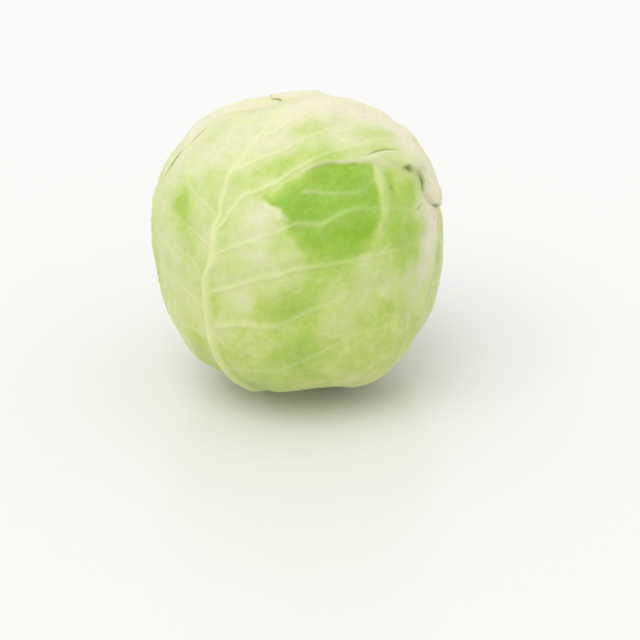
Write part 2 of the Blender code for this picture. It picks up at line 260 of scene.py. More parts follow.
class StageSettings(bpy.types.PropertyGroup):
    """The camera's place and the studio light."""

    elevation: bpy.props.FloatProperty(name="Elevation", description="Camera's angle above level",
                                       subtype="ANGLE", default=float(np.radians(25.0)))
    distance: length("Distance", 0.95, "From the camera to the head's middle")
    pixel: length("Pixel", 0.6 * MM, "What one pixel of the picture covers at the head's middle")
    floor: colour("Floor", "#E3E3E1", "The studio floor")
    key_strength: share("Key Light", 1.13, "Strength of the broad light from the upper left", 20.0)
    key_spread: bpy.props.FloatProperty(name="Key Spread", description="How broad the key light is, and so how soft",
                                        subtype="ANGLE", default=float(np.radians(50.0)))
    fill: share("Fill Light", 0.95, "Strength of the even light from all round", 5.0)


def smooth_step(x):
    x = np.clip(x, 0.0, 1.0)
    return x * x * (3.0 - 2.0 * x)


def bell(x):
    """A rounded ridge: 1 at 0, and 0 from 1 outwards."""
    return 0.5 + 0.5 * np.cos(np.pi * np.clip(np.abs(x), 0.0, 1.0))


def direction(azimuth, latitude):
    a, b = np.radians(azimuth), np.radians(latitude)
    return np.stack([np.cos(b) * np.sin(a), -np.cos(b) * np.cos(a), np.sin(b)], axis=-1)


def leaf_axes(leaf):
    """The leaf's middle, its right and its up, as unit vectors."""
    a = np.radians(leaf.azimuth)
    middle = direction(leaf.azimuth, leaf.latitude)
    right = np.array([np.cos(a), np.sin(a), 0.0])
    return middle, right, np.cross(middle, right)


def reach_at(leaf, bearing):
    """Degrees from the leaf's middle to its margin, at a bearing in degrees from its right, by its top."""
    knots = np.array(leaf.reach, float)
    knots[9] = 90.0 + leaf.latitude - BASE_CLEARANCE
    at = (np.asarray(bearing) % 360.0) / 30.0
    k = np.floor(at).astype(int)
    f = at - k
    before, here, after, last = (knots[(k + step) % 12] for step in (-1, 0, 1, 2))
    curve = here + 0.5 * f * (after - before + f * (2 * before - 5 * here + 4 * after - last
                                                    + f * (3 * (here - after) + last - before)))
    size, waves, phase = leaf.wave
    away_from_base = smooth_step((1.0 + np.sin(np.radians(bearing))) / 0.6)
    b = np.radians(bearing)
    return curve + size * away_from_base * (np.sin(waves * b + phase) + 0.45 * np.sin((2 * waves + 1) * b - phase))


def to_head(leaf, x, y, nicks=0.0):
    """Directions from the head's centre for points of the leaf's disc."""
    bearing = np.degrees(np.arctan2(y, x))
    reach = np.radians(np.hypot(x, y) * (reach_at(leaf, bearing) - nicks))
    middle, right, up = leaf_axes(leaf)
    b = np.radians(bearing)
    outward = np.cos(b)[..., None] * right + np.sin(b)[..., None] * up
    return np.cos(reach)[..., None] * middle + np.sin(reach)[..., None] * outward


def to_disc(leaf, way):
    """Where directions from the head's centre fall on the leaf's disc."""
    middle, right, up = leaf_axes(leaf)
    a, b = way @ right, way @ up
    bearing = np.degrees(np.arctan2(b, a))
    part = np.degrees(np.arccos(np.clip(way @ middle, -1, 1))) / reach_at(leaf, bearing)
    return part * np.cos(np.radians(bearing)), part * np.sin(np.radians(bearing))


def midrib_x(leaf, y):
    y = np.clip(y, -1, 1)
    return leaf.bow * np.cos(0.5 * np.pi * (y + RIB_SKEW * (1.0 - y * y)))


def rib_relief(leaf, x, y, widen=1.0):
    """Height of the midrib, which narrows and sinks from the base to the tip."""
    along = np.clip(0.5 * (y + 1.0), 0.0, 1.0)
    height = leaf.rib_height * (1.0 - along) ** 1.1 + 0.0006 * (1.0 - along)
    half = widen * (leaf.rib_half_width * (1.0 - along) ** 1.3 + 0.0022)
    off = (x - midrib_x(leaf, y)) * MM_PER_REACH * MM
    return height * bell(off / half)


def cover(leaf, x, y):
    """1 where the leaf lies, falling to 0 a little way past its margin."""
    return 1.0 - smooth_step((np.hypot(x, y) - 1.0 - LEDGE) / FADE)


def heart_reach(way):
    """Distance from the head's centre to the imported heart."""
    across = np.hypot(way[..., 0], way[..., 1])
    above = way[..., 2] >= 0.0
    tall = np.where(above, HEART_RISE, HEART_DROP)
    power = np.where(above, TOP_POWER, BOTTOM_POWER)
    reach = ((across / HEART_RADIUS) ** power + (np.abs(way[..., 2]) / tall) ** power) ** (-1.0 / power)
    azimuth = np.arctan2(way[..., 0], -way[..., 1])
    latitude = np.arcsin(np.clip(way[..., 2], -1, 1))
    for part, lobes, phase, bands, shift in SWELLS:
        reach = reach * (1.0 + part * across * np.cos(lobes * azimuth + phase) * np.cos(bands * latitude + shift))
    from_axis = np.degrees(np.arctan2(across, -way[..., 2]))
    return reach - DIMPLE_DEPTH * np.exp(-0.5 * (from_axis / DIMPLE_SPREAD) ** 2)


def underside_reach(way, below):
    """Distance from the head's centre to the inner face of a leaf that lies on the leaves below it."""
    reach = heart_reach(way) + HEART_GAP + CROWN_EASE * smooth_step((way[..., 2] - 0.2) / 0.5)
    for leaf in below:
        x, y = to_disc(leaf, way)
        reach = reach + cover(leaf, x, y) * (PITCH + IMPRINT * rib_relief(leaf, x, y, IMPRINT_WIDTH))
    return reach


def exposure(way, above):
    """1 where nothing lies over the leaf, 0 where a leaf does."""
    free = np.ones(way.shape[:-1])
    for leaf in above:
        free = free * (1.0 - cover(leaf, *to_disc(leaf, way)))
    return free


def leaf_disc(leaf, u, t):
    """The leaf's own grid on its disc: u from margin to margin, t from base to tip along the side veins."""
    side, s = np.sign(u), np.abs(u)

    def on_circle(degrees):
        a = np.radians(degrees)
        return np.stack([side * np.sin(a), -np.cos(a)], axis=-1)

    def on_midrib(at):
        y = 2.0 * at - 1.0
        return np.stack([midrib_x(leaf, y), y], axis=-1)

    zero, one = np.zeros_like(t), np.ones_like(t)
    last = 180.0 - TIP_ARC
    margin_angle = BASE_ARC + (last - BASE_ARC) * t ** MARGIN_POWER
    s2, t2 = s[..., None], t[..., None]
    point = (1 - s2) * on_midrib(t) + s2 * on_circle(margin_angle)
    point = point + (1 - t2) * on_circle(BASE_ARC * s) + t2 * on_circle(180.0 - TIP_ARC * s)
    point = point - (1 - s2) * (1 - t2) * on_midrib(zero) - s2 * (1 - t2) * on_circle(BASE_ARC * one)
    point = point - (1 - s2) * t2 * on_midrib(one) - s2 * t2 * on_circle(last * one)
    arch = VEIN_ARCH * 16.0 * s * (1.0 - s) * t * (1.0 - t)
    return point[..., 0], point[..., 1] + arch


def pleat_relief(leaf, x, y):
    """Height of the fold: a step along its lower side, running out smoothly above it and at its ends."""
    start, end = PLEAT_ENDS
    step = smooth_step((y - PLEAT_LEVEL + 0.05) / 0.035) * (1.0 - smooth_step((y - PLEAT_LEVEL - 0.02) / 0.30))
    return leaf.pleat * step * smooth_step((x - start) / 0.15) * (1.0 - smooth_step((x - end) / 0.12))


def smooth_noise(points, per_metre, seed=0.0):
    """Blender's gradient noise at each point, from -1 to 1."""
    shift = Vector((seed, 2.3 * seed, -1.7 * seed))
    return np.array([noise.noise(Vector(p) * per_metre + shift) for p in points])


def smooth_line(places, count):
    """A curve through places of the disc, as count even steps from each to the next."""
    ends = np.array([places[0], *places, places[-1]])
    f = np.linspace(0.0, 1.0, count, endpoint=False)[:, None]
    runs = []
    for before, here, after, last in zip(ends, ends[1:], ends[2:], ends[3:]):
        runs.append(here + 0.5 * f * (after - before + f * (2 * before - 5 * here + 4 * after - last
                                                            + f * (3 * (here - after) + last - before))))
    return np.concatenate(runs + [ends[-1:]])


def side_veins(leaf, draw):
    """Each side vein as (strength, places from the midrib to near the margin)."""
    found = []
    for side in (-1.0, 1.0):
        if side > 0 and leaf.pleat:
            found += [(strength, smooth_line(places, 24)) for strength, places in FRONT_VEINS]
            continue
        for level in LOW_VEINS + VEINS + (0.95,):
            strong = level in VEINS
            start, drift = level + draw.uniform(-0.012, 0.012), draw.uniform(-0.02, 0.02)
            phase = draw.uniform(0.0, 6.28)
            forks = ((0.0, 0.0, draw.uniform(0.75, 1.0) if strong else 0.5),
                     (draw.uniform(0.28, 0.42), draw.uniform(0.05, 0.08), 0.62),
                     (draw.uniform(0.48, 0.66), -draw.uniform(0.045, 0.07), 0.55))
            for at, spread, strength in forks if strong else forks[:1]:
                s = at + (0.96 - at) * np.linspace(0.0, 1.0, 120)
                t = start + 0.007 * s * np.sin(8.0 * s + phase) + drift * s + spread * (s - at) / (1.0 - at)
                shown = strength * (FAINT_LEFT if leaf.pleat else 1.0)
                found.append((shown, np.stack(leaf_disc(leaf, side * s, np.clip(t, 0.0, 1.0)), axis=-1)))
    return found


def branches(vein, draw):
    """The thin veins that leave a side vein on both sides, turn towards the margin and wander."""
    found = []
    for turn in (1.0, -1.0):
        at = draw.uniform(0.05, 0.12)
        while at < 0.90:
            k = int(at * (len(vein) - 2))
            ahead = vein[k + 1] - vein[k]
            heading = np.arctan2(ahead[1], ahead[0]) + turn * np.radians(draw.uniform(48.0, 68.0))
            place, bend, run = np.array(vein[k]), -turn * draw.uniform(0.4, 1.5), [np.array(vein[k])]
            for step in range(draw.randint(12, 22)):
                heading += np.radians(bend + draw.uniform(-7.0, 7.0))
                place = place + 0.0052 * np.array([np.cos(heading), np.sin(heading)])
                run.append(place)
            found.append(np.array(run))
            at += draw.uniform(0.055, 0.105)
    return found


def nearest(lines, x, y):
    """For each point of the disc: metres to the nearest of the lines, the share along it, and its strength."""
    scale = MM_PER_REACH * MM
    tree = kdtree.KDTree(sum(len(line) for _, line in lines))
    strengths, along = [], []
    for strength, line in lines:
        for k, (a, b) in enumerate(line):
            tree.insert((a * scale, b * scale, 0.0), len(along))
            along.append(k / (len(line) - 1))
            strengths.append(strength)
    tree.balance()
    found = [tree.find((a * scale, b * scale, 0.0)) for a, b in zip(x, y)]
    index = np.array([f[1] for f in found])
    return np.array([f[2] for f in found]), np.array(along)[index], np.array(strengths)[index]


def off_line(x, y, line):
    """How far each point of the disc lies from a line of straight runs, across and up, the share along it, and
    1 on its left or -1 on its right."""
    ends = np.array(line)
    across, up, along, side = (np.full(x.shape, 9.0) for _ in range(4))
    for k, (a, b) in enumerate(zip(ends[:-1], ends[1:])):
        run = b - a
        f = np.clip(((x - a[0]) * run[0] + (y - a[1]) * run[1]) / (run @ run), 0.0, 1.0)
        here = x - a[0] - f * run[0], y - a[1] - f * run[1]
        nearer = np.hypot(*here) < np.hypot(across, up)
        across, up = np.where(nearer, here[0], across), np.where(nearer, here[1], up)
        along = np.where(nearer, (k + f) / (len(ends) - 1), along)
        side = np.where(nearer, np.sign(run[0] * (y - a[1]) - run[1] * (x - a[0])), side)
    return across, up, along, side


def crowd_to_tears(leaf, x, y):
    """Moves the front leaf's mesh corners closer to its tears, which makes their lips crisp."""
    if leaf.pleat:
        for line in (TORN_EDGE, SLIT, *PINCHES):
            across, up, _, _ = off_line(x, y, line)
            pull = 0.68 * np.exp(-((np.hypot(across, up) / 0.022) ** 2))
            x, y = x - pull * across, y - pull * up
    return x, y


def tears(leaf, x, y, relief):
    """The front leaf's torn corner, slit, crease, scar and pressed band: (change of height, painted shade in the gaps,
    pale).
    """
    height, gap, pale = np.zeros(x.shape), np.zeros(x.shape), np.zeros(x.shape)
    if not leaf.pleat:
        return height, gap, pale
    scale = MM_PER_REACH * MM
    flat = np.stack([x, y, 0 * x], axis=-1)
    ragged = 0.0006 * smooth_noise(flat, 30.0, 2.0)
    for line, openings, upper, size in ((TORN_EDGE, TORN_OPENINGS, 1.0, 1.0), (SLIT, SLIT_OPENINGS, -1.0, 0.6)):
        across, up, along, side = off_line(x, y, line)
        signed = np.hypot(across, up) * scale * side * upper + ragged
        closing = smooth_step((along - 0.80) / 0.20) if size < 1.0 else 0.0
        open_here = size * smooth_step(along / 0.15) * (1.0 - closing)
        lip = smooth_step((signed + 0.0002) / 0.0006) * np.exp(-np.clip(signed, 0, 1) / 0.0070)
        sunk = smooth_step((0.0002 - signed) / 0.0006) * np.exp(-np.clip(-signed, 0, 1) / 0.0055)
        height = height + open_here * (relief.tear_lift * lip - relief.tear_drop * sunk)
        wide = np.max([bell((along - middle) / reach) for middle, reach in openings], axis=0)
        # Painted shade: a dark strip under each tear's lip, strongest at its openings.
        gap = np.maximum(gap, wide ** 0.5 * bell((signed + 0.5 * relief.tear_shade_width) / relief.tear_shade_width))
        pale = np.maximum(pale, open_here * bell((signed - 0.0012) / 0.0018))
    for line in PINCHES:
        across, up, along, _ = off_line(x, y, line)
        mark = bell(np.hypot(across, up) * scale / 0.0015) * bell(2.0 * along - 1.0)
        # Painted shade along each pinch.
        gap = np.maximum(gap, 0.50 * mark)
        height = height - 0.0005 * mark
    for line, strength, half in ((CREASE, 0.55, 0.0019), (SCAR, 0.75, 0.0024), (BAND, 0.22, 0.0050)):
        across, up, along, side = off_line(x, y, line)
        mark = bell((np.hypot(across, up) * scale + ragged) / half)
        mark = mark * smooth_step(along / 0.1) * (1.0 - smooth_step((along - 0.8) / 0.2))
        pale = np.maximum(pale, strength * mark)
        height = height + 0.0004 * mark
    return height, gap, pale


def resting_reach(way, below):
    """Distance from the head's centre to the outermost blade that lies under a leaf."""
    reach = heart_reach(way)
    for k, leaf in enumerate(below):
        inside = 1.0 - smooth_step((np.hypot(*to_disc(leaf, way)) - 1.0) / 0.03)
        reach = reach + inside * (underside_reach(way, below[:k]) + BLADE - reach)
    return reach


def leaf_field(leaf, u, t, relief):
    """What the blade's two faces share: places on the disc, directions, exposure and the inner face's reach."""
    below = LEAVES[:LEAVES.index(leaf)]
    above = LEAVES[LEAVES.index(leaf) + 1:]
    x, y = crowd_to_tears(leaf, *leaf_disc(leaf, u, t))
    edge = np.hypot(x, y)
    bearing = np.arctan2(y, x)
    away_from_base = smooth_step((1.0 + np.sin(bearing)) / 0.8)
    rim = np.stack([np.cos(bearing), np.sin(bearing), 0.0 * bearing], axis=-1)
    nick = np.clip(smooth_noise(rim, 16.0, 3.0 + leaf.azimuth), 0.0, 1.0) ** 1.3
    nick = nick + 0.35 * np.abs(smooth_noise(rim, 45.0, 1.0 + leaf.azimuth))
    way = to_head(leaf, x, y, relief.edge_nick * 2.0 * nick * away_from_base * smooth_step((edge - 0.8) / 0.2))
    free = exposure(way, above)
    under = underside_reach(way, below)
    near_edge = smooth_step((edge - 0.84) / 0.16) * away_from_base * free
    stands = smooth_step((smooth_noise(rim, 2.2, 7.0 + leaf.azimuth) - 0.05) / 0.30)
    for lifted, half in leaf.lifted:
        stands = np.maximum(stands, bell((np.degrees(bearing) - lifted) / half))
    resting = resting_reach(way, below) + relief.edge_gap
    under = under + near_edge * (1.0 - 0.75 * stands) * (np.minimum(resting, under) - under)
    curl = relief.edge_curl * stands * smooth_step((edge - 0.90) / 0.10) ** 1.5 * away_from_base * free
    ruffle = 0.0005 * smooth_noise(rim, 9.0, 8.0 + leaf.azimuth) * near_edge * stands
    return x, y, edge, way, free, under + curl + ruffle + pleat_relief(leaf, x, y)


def crevice_shade(leaf, way):
    """1 where shade is painted on a leaf, in the gaps beside the margins of the leaves over it."""
    dark = np.zeros(len(way))
    for over in LEAVES[LEAVES.index(leaf) + 1:]:
        x, y = to_disc(over, way)
        bearing = np.degrees(np.arctan2(y, x))
        beside = bell((np.hypot(x, y) - 1.022) / 0.026)
        for middle, half in over.crevice_shade:
            dark = np.maximum(dark, beside * bell((bearing - middle) / half))
    return dark


def outer_relief(leaf, x, y, way, free, relief):
    """Height over the blade's inner face, and the shares of vein, rib, painted gap shade and pale edge that colour it.
    """
    draw = random.Random(leaf.node)
    veins = side_veins(leaf, draw)
    twigs = [(strength, twig) for strength, vein in veins for twig in branches(vein, draw)]
    away, along, strength = nearest(veins, x, y)
    fade = strength * (0.12 + 0.88 * (1.0 - along) ** 0.8)
    vein = leaf.vein_height * fade * bell(away / (0.0018 + 0.0020 * fade))
    line = 0.9 * fade ** 0.7 * bell(away / (0.0020 + 0.0012 * fade))
    twig_away, twig_along, twig_strength = nearest(twigs, x, y)
    twig_fade = twig_strength * (1.0 - 0.8 * twig_along)
    twig = relief.branch_height * twig_fade * bell(twig_away / 0.0018)
    rib = rib_relief(leaf, x, y)
    kept = COVERED_RIB + (1.0 - COVERED_RIB) * free
    wide = smooth_noise(way, 4.2, 1.0 + leaf.azimuth)
    small = smooth_noise(way, 11.0, 5.0 + leaf.azimuth)
    pucker = relief.pucker_height * (wide + 0.45 * small)
    folds = relief.crumple_height * (0.4 - 2.0 * np.abs(smooth_noise(way, 5.5, 21.0 + leaf.azimuth)))
    quilt = relief.quilt_height * smooth_step(away / 0.009)
    tear, gap, pale = tears(leaf, x, y, relief)
    height = (np.maximum(rib, vein) + twig) * kept + (pucker + np.maximum(folds, -0.0005) + quilt) * free + tear
    rib_paint = np.clip(rib / (0.4 * leaf.rib_height), 0.0, 1.0) ** 0.8
    line = np.maximum(line, 0.45 * twig_fade * bell(twig_away / 0.0015))
    halo = 0.42 * strength * np.exp(-away / 0.0050) * (1.0 - 0.5 * along)
    rib_away = np.abs(x - midrib_x(leaf, y)) * MM_PER_REACH * MM
    halo = np.maximum(halo, 0.55 * np.exp(-(rib_away / 0.0042) ** 2))
    return height, np.maximum(line, halo), rib_paint, gap, pale


def wax_and_light_amount(leaf, x, y, way):
    """Thickness of the wax bloom: thick on top, patchy, and rubbed off in patches of the front leaf, with painted light
    at its right edge.
    """
    broad = smooth_noise(way, 3.0, 11.0 + leaf.azimuth)
    patch = broad + 0.6 * smooth_noise(way, 8.0, 14.0 + leaf.azimuth) + 0.3 * smooth_noise(way, 19.0, 17.0)
    upward = smooth_step((way[:, 2] + 0.25) / 1.05)
    amount = 0.22 + 0.52 * upward + 0.26 * patch
    if not leaf.pleat:
        amount = amount + 0.35 * smooth_step((way[:, 2] - 0.72) / 0.2)
    else:
        for (mx, my), (across, up), change in WAX_AND_LIGHT_PATCHES:
            amount = amount + change * np.exp(-((x - mx) / across) ** 2 - ((y - my) / up) ** 2)
        flat = np.stack([x, y, 0 * x], axis=-1)
        wander = 0.035 * smooth_noise(flat, 9.0, 4.0) + 0.018 * smooth_noise(flat, 26.0, 6.0)
        outline = smooth_line(BARE_PATCH + BARE_PATCH[:1], 5)
        across, up, along, side = off_line(x, y, outline[:, :2])
        soft = np.interp(along, np.linspace(0.0, 1.0, len(outline)), outline[:, 2])
        past = side * np.hypot(across, up) + wander * np.minimum(1.0, soft / 0.05)
        inside = smooth_step(past / soft + 0.5)
        worn = (0.34 + 0.25 * patch) * (1.0 - 0.4 * smooth_step((y - 0.28) / 0.1))
        amount = amount * (1.0 - inside) - inside * worn
    return np.clip(amount, -0.6, 1.0)


def store(mesh, name, values):
    layer = mesh.attributes.new(name, "FLOAT", "POINT")
    layer.data.foreach_set("value", np.ascontiguousarray(values, dtype=np.float32))


def link_object(name, mesh, material, node):
    """A piece that stands for a CAD node and moves with the one body."""
    mesh.materials.append(material)
    mesh.shade_smooth()
    piece = bpy.data.objects.new(name, mesh)
    bpy.context.scene.collection.objects.link(piece)
    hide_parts(node)
    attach(piece, "root")
    return piece


def leaf_piece(leaf, relief, material):
    """A closed blade: an outer and an inner sheet bridged round their margin."""
    shape = bmesh.new()
    across, along = leaf.cells
    for face in range(2):
        bmesh.ops.create_grid(shape, x_segments=across, y_segments=along, size=1.0)
    half = len(shape.verts) // 2
    shape.faces.ensure_lookup_table()
    bmesh.ops.reverse_faces(shape, faces=shape.faces[len(shape.faces) // 2:])
    flat = np.array([v.co[:] for v in shape.verts])
    rims = [edge for edge in shape.edges if edge.is_boundary]
    split = 0.75 * leaf.bow
    u = (flat[:half, 0] - split) / np.where(flat[:half, 0] < split, 1.0 + split, 1.0 - split)
    u = np.sign(u) * np.abs(u) ** 1.15
    x, y, edge, way, free, under = leaf_field(leaf, u, 0.5 * (flat[:half, 1] + 1.0), relief)
    height, vein, rib, gap, pale = outer_relief(leaf, x, y, way, free, relief)
    # Painted shade beside the margins of the leaves above.
    gap = np.maximum(gap, crevice_shade(leaf, way))
    thin = 1.0 - (1.0 - relief.thin_edge) * smooth_step((edge - 0.93) / 0.07)
    outer = under + BLADE * thin + height
    inner = np.minimum(under, outer - 0.5 * BLADE * thin)
    places = np.concatenate([way * outer[:, None], way * inner[:, None]]) + np.array(CENTRE)
    for vertex, place in zip(shape.verts, places):
        vertex.co = place
    bmesh.ops.bridge_loops(shape, edges=rims)
    mesh = bpy.data.meshes.new(leaf.node + "_blade")
    shape.to_mesh(mesh)
    shape.free()
    paint = {"vein": vein, "rib": rib, "gap": gap, "pale": pale, "bloom": wax_and_light_amount(leaf, x, y, way),
             "edge": smooth_step((edge - 0.955) / 0.045), "deep": 1.0 - free, "base": smooth_step((0.1 - y) / 0.9)}
    for name, values in paint.items():
        store(mesh, name, np.tile(values, 2))
    return link_object(leaf.node + "_blade", mesh, material, leaf.node)


def add_node(tree, kind, inputs=None, **settings):
    """A node with its settings, and its sockets set to values or joined to other nodes' outputs."""
    made = tree.nodes.new(kind)
    for name, value in settings.items():
        setattr(made, name, value)
    for name, value in (inputs or {}).items():
        if isinstance(value, bpy.types.NodeSocket):
            tree.links.new(value, made.inputs[name])
        else:
            made.inputs[name].default_value = value
    return made


def blank_material(name):
    material = bpy.data.materials.new(name)
    material.use_nodes = True
    material.node_tree.nodes.clear()
    return material, material.node_tree


def finish_surface(tree, colour_out, rough_out, height_out, strength, **shader):
    """The shader, with relief from a height in metres."""
    bump = add_node(tree, "ShaderNodeBump", {"Height": height_out, "Strength": strength, "Distance": 1.0})
    surface = add_node(tree, "ShaderNodeBsdfPrincipled",
                       {"Base Color": colour_out, "Roughness": rough_out, "Normal": bump.outputs["Normal"], **shader})
    add_node(tree, "ShaderNodeOutputMaterial", {"Surface": surface.outputs["BSDF"]})


def waxy_leaf_material(name, colours):
    """Fresh brassica leaf: a thin green blade with pale veins under a matt, bluish-white wax bloom.

    The bloom scatters light, so the leaf looks pale and soft where it is thick and green where it is rubbed off.
    """
    material, tree = blank_material(name)
    place = add_node(tree, "ShaderNodeTexCoord").outputs["Object"]

    def layer(attribute):
        return add_node(tree, "ShaderNodeAttribute", attribute_name=attribute).outputs["Fac"]

    def mix(factor, low, high):
        return add_node(tree, "ShaderNodeMixRGB", {"Fac": factor, "Color1": low, "Color2": high}).outputs["Color"]

    def maths(operation, a, b=0.5):
        return add_node(tree, "ShaderNodeMath", {0: a, 1: b}, operation=operation, use_clamp=True).outputs[0]

    # Patches of stronger and weaker green, some 40 mm across, and flecks in the bloom 4 mm across.
    patches = add_node(tree, "ShaderNodeTexNoise", {"Vector": place, "Scale": 26.0, "Detail": 3.0}).outputs["Fac"]
    flecks = add_node(tree, "ShaderNodeTexNoise", {"Vector": place, "Scale": 240.0, "Detail": 4.0}).outputs["Fac"]
    # The finest veins close in cells 5 mm across, and the skin's pores are 0.5 mm across.
    bent = add_node(tree, "ShaderNodeMixRGB",
                    {"Fac": 0.004, "Color1": place,
                     "Color2": add_node(tree, "ShaderNodeTexNoise", {"Vector": place, "Scale": 150.0}).outputs["Color"]},
                    blend_type="LINEAR_LIGHT").outputs["Color"]
    cells = add_node(tree, "ShaderNodeTexVoronoi", {"Vector": bent, "Scale": 190.0},
                     feature="DISTANCE_TO_EDGE").outputs["Distance"]
    net = add_node(tree, "ShaderNodeMapRange", {"Value": cells, "From Min": 0.0, "From Max": 0.11,
                                                "To Min": 1.0, "To Max": 0.0}).outputs["Result"]
    pores = add_node(tree, "ShaderNodeTexNoise", {"Vector": place, "Scale": 1500.0, "Detail": 2.0}).outputs["Fac"]

    fleck = add_node(tree, "ShaderNodeMath", {0: flecks, 1: 0.36, 2: -0.18}, operation="MULTIPLY_ADD").outputs[0]
    wax = add_node(tree, "ShaderNodeMath", {0: layer("bloom"), 1: fleck}, operation="ADD").outputs[0]
    rubbed = add_node(tree, "ShaderNodeMapRange", {"Value": wax, "From Min": 0.30, "From Max": -0.35}).outputs["Result"]
    wax_and_light = add_node(tree, "ShaderNodeMapRange", {"Value": wax, "From Min": 0.15, "From Max": 0.95}).outputs["Result"]
    skin = mix(maths("MULTIPLY", layer("base"), 0.75), colours.blade, colours.base)
    skin = mix(maths("MULTIPLY", patches, 0.25), skin, colours.bare)
    skin = mix(rubbed, skin, colours.bare)
    # Pale wax colour; at the front leaf's right edge it is painted light.
    skin = mix(wax_and_light, skin, colours.bloom)
    skin = mix(maths("MULTIPLY", net, 0.07), skin, colours.vein)
    skin = mix(maths("MULTIPLY", layer("vein"), 0.70), skin, colours.vein)
    skin = mix(maths("MULTIPLY", layer("rib"), 0.60), skin, colours.rib)
    skin = mix(maths("MULTIPLY", layer("pale"), 0.8), skin, colours.bloom)
    skin = mix(maths("MULTIPLY", layer("edge"), maths("MULTIPLY", patches, 0.75)), skin, colours.dry)
    skin = mix(maths("MULTIPLY", layer("deep"), 0.30), skin, colours.base)
    # Painted shade: dark green in the tears, along the pinches and beside the margins of the leaves above.
    skin = mix(maths("MULTIPLY", layer("gap"), 0.95), skin, colours.gap)

    rough = add_node(tree, "ShaderNodeMapRange", {"Value": wax, "To Min": 0.40, "To Max": 0.60}).outputs["Result"]
    raised = add_node(tree, "ShaderNodeMath", {0: net, 1: 0.00007}, operation="MULTIPLY").outputs[0]
    grain = add_node(tree, "ShaderNodeMath", {0: pores, 1: 0.00004, 2: raised}, operation="MULTIPLY_ADD").outputs[0]
    finish_surface(tree, skin, rough, grain, 0.8, **{
        "IOR": 1.38, "Subsurface Weight": 0.18, "Subsurface Radius": (0.6, 1.0, 0.2), "Subsurface Scale": 0.003,
        "Sheen Weight": 0.22, "Sheen Roughness": 0.4})
    return material


def packed_heart_material(colours):
    """The pale leaves of the heart, which have hardly any bloom and more shine than the wrappers."""
    material, tree = blank_material("packed_heart_leaves")
    place = add_node(tree, "ShaderNodeTexCoord").outputs["Object"]
    waves = add_node(tree, "ShaderNodeTexNoise", {"Vector": place, "Scale": 60.0, "Detail": 4.0}).outputs["Fac"]
    skin = add_node(tree, "ShaderNodeMixRGB", {"Fac": waves, "Color1": colours.heart, "Color2": colours.skin})
    grain = add_node(tree, "ShaderNodeMath", {0: waves, 1: 0.0002}, operation="MULTIPLY").outputs[0]
    finish_surface(tree, skin.outputs["Color"], 0.45, grain, 0.7,
                   **{"IOR": 1.42, "Subsurface Weight": 0.2, "Subsurface Scale": 0.004})
    return material


def cut_stalk_material(colours):
    """A knife-cut cabbage stump: moist pale pith, a ring of woody fibres, and a rim that has dried brown."""
    material, tree = blank_material("cut_stalk_flesh")
    place = add_node(tree, "ShaderNodeTexCoord").outputs["Object"]

    def ramp(value, stops):
        made = add_node(tree, "ShaderNodeValToRGB", {"Fac": value})
        elements = made.color_ramp.elements
        elements[0].position, elements[0].color = stops[0]
        elements[1].position, elements[1].color = stops[-1]
        for position, shade in stops[1:-1]:
            elements.new(position).color = shade
        return made.outputs["Color"]

    flat = add_node(tree, "ShaderNodeVectorMath", {0: place, 1: (1.0, 1.0, 0.0)}, operation="MULTIPLY").outputs[0]
    radius = add_node(tree, "ShaderNodeVectorMath", {0: flat}, operation="LENGTH").outputs["Value"]
    wobble = add_node(tree, "ShaderNodeTexNoise", {"Vector": place, "Scale": 220.0, "Detail": 3.0}).outputs["Fac"]
    ring = add_node(tree, "ShaderNodeMath", {0: wobble, 1: 0.0035, 2: radius}, operation="MULTIPLY_ADD").outputs[0]
    part = add_node(tree, "ShaderNodeMath", {0: ring, 1: STALK_RADIUS}, operation="DIVIDE").outputs[0]
    face = ramp(part, ((0.0, colours.pith), (0.55, colours.pith), (0.74, colours.wood), (0.82, colours.pith),
                       (0.98, colours.dried)))
    fibres = add_node(tree, "ShaderNodeTexVoronoi", {"Vector": place, "Scale": 900.0}).outputs["Distance"]
    height = add_node(tree, "ShaderNodeSeparateXYZ", {"Vector": place}).outputs["Z"]
    on_side = add_node(tree, "ShaderNodeMapRange", {"Value": height, "From Min": 0.0008, "From Max": 0.0030})
    side = add_node(tree, "ShaderNodeMixRGB", {"Fac": wobble, "Color1": colours.skin, "Color2": colours.wood})
    skin = add_node(tree, "ShaderNodeMixRGB", {"Fac": on_side.outputs["Result"], "Color1": face,
                                               "Color2": side.outputs["Color"]})
    grain = add_node(tree, "ShaderNodeMath", {0: fibres, 1: 0.0003}, operation="MULTIPLY").outputs[0]
    finish_surface(tree, skin.outputs["Color"], 0.5, grain, 0.7,
                   **{"IOR": 1.4, "Subsurface Weight": 0.25, "Subsurface Scale": 0.004})
    return material


class CABBAGE_OT_leaves(bpy.types.Operator):
    """Make the six wrapper leaves with their ribs, veins, waved margins and tears"""

    bl_idname = "cabbage.leaves"
    bl_label = "Wrapper Leaves"

    def execute(self, context):
        material = waxy_leaf_material("waxy_cabbage_leaf", context.scene.cabbage_leaf_colours)
        for leaf in LEAVES:
            leaf_piece(leaf, context.scene.cabbage_relief, material)
        return {"FINISHED"}


